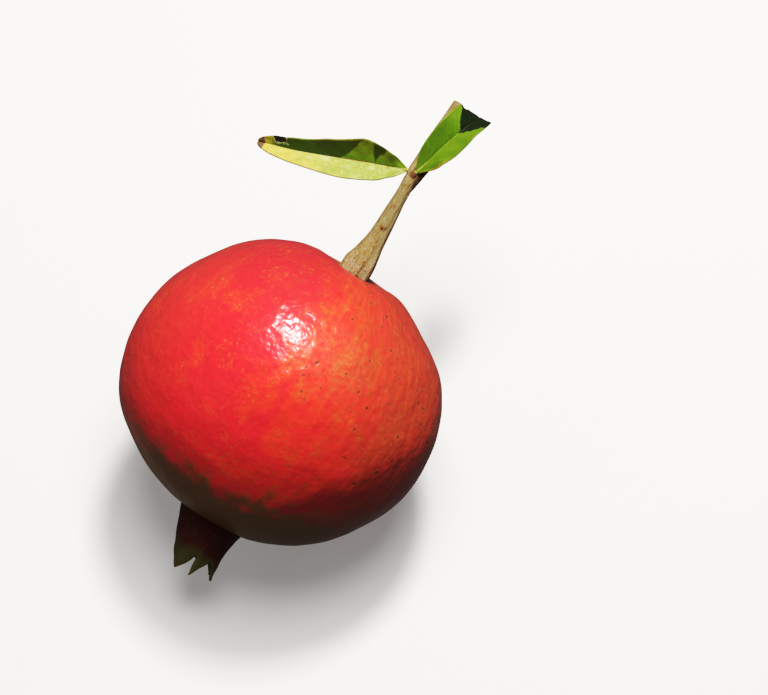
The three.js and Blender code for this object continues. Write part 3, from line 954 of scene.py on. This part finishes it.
def leftLeafFinish():
    s, spot, u, outward, reach, midrib, veins = leafSheet("leftLeafFinish")
    tints = leftLeafColours
    blotch = s.clouds(spot, 0.28, detail=4)
    fine = s.clouds(spot, 1.0, detail=4)
    grit = s.clouds(spot, 3.2, detail=2)
    upper = outward * -1

    # the folded-up half is still green: painted shade darkens it to the tip and in blotches,
    # painted light lightens it near the foot round a wedge of painted shadow, and along its upper
    # rim
    along = u + (blotch - 0.5) * 0.09 + (fine - 0.5) * 0.03
    lit = 1 - (along + upper.maths("MAXIMUM", 0.0) * 0.13).between(0.437, 0.452)
    wedge = 1 - ((along - 0.212).maths("ABSOLUTE") - upper * 0.05).between(-0.01, 0.008)
    lit = lit * (1 - wedge)
    rim = (upper + (fine - 0.5) * 0.1).between(0.9, 0.97) * u.between(0.2, 0.3)
    green = s.mix(lit, tints["dark"], tints["lit"])
    green = s.mix((blotch - 0.3).between(0, 0.5) * 0.35, green, tints["dark"])
    green = s.mix(rim * 0.4, green, tints["rim"])
    green = s.mix((u + (fine - 0.5) * 0.06).between(0.86, 0.94) * 0.8, green, tints["straw"])

    # the other half has turned yellow, most at the tip, with pale pads of painted sheen along the
    # midrib
    turned = (u + (blotch - 0.5) * 0.5 + (fine - 0.5) * 0.3).between(0.3, 0.9)
    yellow = s.mix(turned, tints["lime"], tints["yellow"])
    yellow = s.mix(fine.between(0.5, 0.66) * 0.4, yellow, tints["pale"])
    yellow = s.mix((1 - fine.between(0.34, 0.48)) * 0.35, yellow, tints["lime"])
    pad = 1 - s.cells(s.shaken(spot, 1.2, 0.8), 0.5).between(0.25, 0.6)
    sheenPads = pad * (1 - (reach + (fine - 0.5) * 0.7).between(0.15, 0.55)) * (1 - u.between(0.6, 0.75))
    yellow = s.mix(sheenPads * 0.5, yellow, tints["paleEdgeAndSheen"])
    yellow = s.mix(grit.between(0.5, 0.62) * 0.3, yellow, tints["lime"])
    yellow = s.mix((1 - grit.between(0.36, 0.46)) * 0.3, yellow, tints["pale"])
    skin = s.mix((outward + (blotch - 0.5) * 0.06).between(-0.02, 0.02), green, yellow)
    skin = s.mix(veins * outward.between(0, 0.1) * 0.1, skin, tints["lime"])
    skin = s.mix(midrib * (1 - u.between(0.3, 0.6) * 0.5), skin,
                 s.mix(u.between(0.4, 0.65), tints["ribFoot"], tints["rib"]))

    # brown flecks and margin, the dead tip, and a scorched patch with a pale outline
    flecks = s.dots(s.shaken(spot, 2, 0.5), 1.3, 0.23, 0.6) * fine.between(0.38, 0.5)
    skin = s.mix(flecks * 0.65, skin, tints["rust"])
    edge = (reach + (fine - 0.5) * 0.16).between(0.94, 1.02)
    skin = s.mix(edge * 0.5, skin, tints["rust"])
    tip = (u + (fine - 0.5) * 0.02 + outward * 0.006).between(0.944, 0.954)
    skin = s.mix(tip, skin, s.mix(grit.between(0.4, 0.6), tints["deadTip"], tints["rust"]))
    fromScorch = ((u - 0.835 - upper * 0.012).maths("ABSOLUTE") * 38 - 1.4).maths(
        "MAXIMUM", (0.46 - upper) * 2.9) + (fine - 0.5) * 2.2 + (grit - 0.5) * 1.2
    skin = s.mix((1 - fromScorch.between(0.25, 0.4)) * 0.7, skin, tints["paleEdgeAndSheen"])
    skin = s.mix(1 - fromScorch.between(-0.05, 0.2), skin, tints["scorch"])
    s.paint(Base_Color=skin, Roughness=0.36 + fine * 0.2,
            Normal=s.bump(fine * 0.5 + veins * 0.3 - midrib * 0.4 + grit * 0.15, 0.5, 0.2 * mm))
    return s.material


rightLeafColours = {
    "deep": colour(0.118, 0.205, 0.010),
    "fresh": colour(0.142, 0.24, 0.012),
    "dark": colour(0.009, 0.018, 0.004),
    "vein": colour(0.26, 0.36, 0.075),
    "olive": colour(0.16, 0.16, 0.018),
    "fleck": colour(0.22, 0.12, 0.03),
    "edge": colour(0.28, 0.31, 0.06),
    "gold": colour(0.46, 0.30, 0.03),
}


def rightLeafFinish():
    s, spot, u, outward, reach, midrib, veins = leafSheet("rightLeafFinish")
    blotch = s.clouds(spot, 0.3, detail=4)
    fine = s.clouds(spot, 1.2, detail=4)
    tints = rightLeafColours
    skin = s.mix((blotch + fine * 0.4).between(0.5, 0.9), tints["deep"], tints["fresh"])
    skin = s.mix(outward.between(-0.2, 0.1) * (1 - u.between(0.15, 0.4)) * 0.4, skin, tints["deep"])
    # painted shadow across the far end of the blade, with a ragged edge
    shaded = (u - reach * 0.15 - outward.between(0.55, 1) * 0.06 + (blotch - 0.5) * 0.1
              + (fine - 0.5) * 0.04).between(0.313, 0.328)
    skin = s.mix(veins * 0.1, skin, tints["vein"])
    skin = s.mix(midrib * 0.6 * (1 - u.between(0.2, 0.5) * 0.5), skin, tints["vein"])
    burnt = s.clouds(s.stretch(spot, (1, 1, 0.5)), 0.8, detail=3)
    skin = s.mix(burnt.between(0.6, 0.68) * 0.4, skin, tints["olive"])
    flecks = s.dots(s.shaken(spot, 2, 0.5), 1.1, 0.18, 0.25) * fine.between(0.45, 0.6)
    skin = s.mix(flecks * 0.6, skin, tints["fleck"])
    edge = (reach + (fine - 0.5) * 0.12).between(0.95, 1.0)
    skin = s.mix(edge * 0.5, skin, tints["edge"])
    footEdge = (outward * -1 + (fine - 0.5) * 0.2).between(0.8, 0.95) * (1 - u.between(0.12, 0.2))
    skin = s.mix(footEdge * 0.7, skin, tints["gold"])
    # painted shade: the right-margin half a little darker, then the far end darkened under the
    # painted shadow
    skin = s.mix((1 - outward.between(-0.2, 0.1)) * 0.12, skin, tints["dark"])
    skin = s.mix(shaded * 0.97, skin, tints["dark"])
    s.paint(Base_Color=skin, Roughness=0.36 + fine * 0.2,
            Normal=s.bump(fine * 0.5 + veins * 0.4 - midrib * 0.6, 0.5, 0.15 * mm))
    return s.material


# The stage: camera, lights and floor

studio = {
    "azimuth": -55.6,
    "elevation": 60,
    "lens": 105,
    "pixel": 0.247,                     # mm of the fruit's middle plane in one pixel
    "frameWidth": 768,
    "clip": (0.01, 20),                 # metres
    "aim": (16.17, 0, 21.73),           # the middle of the view, in the grown frame
    "lights": (                         # direction (right, up, back), size, power and tint
        ("key", (0.09, 0.57, 0.82), 480, 4.95, (1, 0.985, 0.955)),
        ("spark", (0.15, 0.75, 0.64), 165, 5.1, (1, 0.985, 0.96)),
        ("fill", (-1, 0, 0.75), 600, 0.42, (1, 0.97, 0.93))),
    "lightsAway": 900,
    "air": (colour(1, 0.97, 0.94), 0.09),   # the world's tint and strength
    "floorRadius": 3,                   # metres
    "floor": colour(0.62, 0.615, 0.605),
    "floorGlow": 0.13,
    "restSpot": (-0.0149, -0.0006, 0),  # metres; a painted contact shadow dims the floor's glow under the fruit
    "contactShadow": colour(0.12, 0.11, 0.10),
}


def cameraAxes():
    a, e = math.radians(studio["azimuth"]), math.radians(studio["elevation"])
    right = Vector((math.cos(a), math.sin(a), 0))
    back = Vector((math.sin(a) * math.cos(e), -math.cos(a) * math.cos(e), math.sin(e)))
    return right, back.cross(right), back


def makeCamera():
    right, up, back = cameraAxes()
    data = bpy.data.cameras.new("camera")
    data.lens = studio["lens"]
    camera = bpy.data.objects.new("camera", data)
    bpy.context.collection.objects.link(camera)
    away = studio["frameWidth"] * studio["pixel"] * data.lens / data.sensor_width
    camera.location = grownPoint(*studio["aim"]) + back * away * mm
    camera.rotation_euler = Matrix((right, up, back)).transposed().to_euler()
    data.clip_start, data.clip_end = studio["clip"]
    bpy.context.scene.camera = camera


def makeLight(name, direction, size, power, tint):
    data = bpy.data.lights.new(name, "AREA")
    data.shape = "DISK"
    data.size = size * mm
    data.energy = power
    data.color = tint
    light = bpy.data.objects.new(name, data)
    bpy.context.collection.objects.link(light)
    light.location = fruitMiddle + direction.normalized() * studio["lightsAway"] * mm
    light.rotation_euler = direction.to_track_quat("Z", "Y").to_euler()
    light.visible_glossy = name == "spark"      # the small light alone makes the glint


def makeFloor():
    pick(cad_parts["fruit"])
    bpy.ops.mesh.primitive_circle_add(vertices=96, radius=studio["floorRadius"],
                                      fill_type="NGON", location=(0, 0, 0))
    floor = bpy.context.object
    floor.name = "floor"
    s = Sheet("floorFinish", Roughness=1, Specular_IOR_Level=0, Base_Color=studio["floor"],
              Emission_Strength=studio["floorGlow"])
    fromSpot = s.distanceTo(s.add("ShaderNodeTexCoord", output="Object"), studio["restSpot"])
    # painted contact shadow: the glow dims close round where the fruit rests
    s.paint(Emission_Color=s.mix(fromSpot.between(0.003, 0.026), studio["contactShadow"],
                                 colour(1, 1, 1)))
    floor.data.materials.append(s.material)
    floor.visible_diffuse = False       # it throws no light back on the fruit
    floor.visible_glossy = False


def makeStage():
    makeCamera()
    makeFloor()
    right, up, back = cameraAxes()
    for name, (x, y, z), size, power, tint in studio["lights"]:
        makeLight(name, right * x + up * y + back * z, size, power, tint)
    world = bpy.data.worlds.new("studioAir")
    bpy.context.scene.world = world
    world.use_nodes = True
    backdrop = world.node_tree.nodes["Background"].inputs
    backdrop["Color"].default_value, backdrop["Strength"].default_value = studio["air"]
    print("stage made")


makeRind()
makeCrown()
makeStamens()
makeTwig()
makeLeaf(leftLeaf, leftLeafFinish())
makeLeaf(rightLeaf, rightLeafFinish())
makeStage()
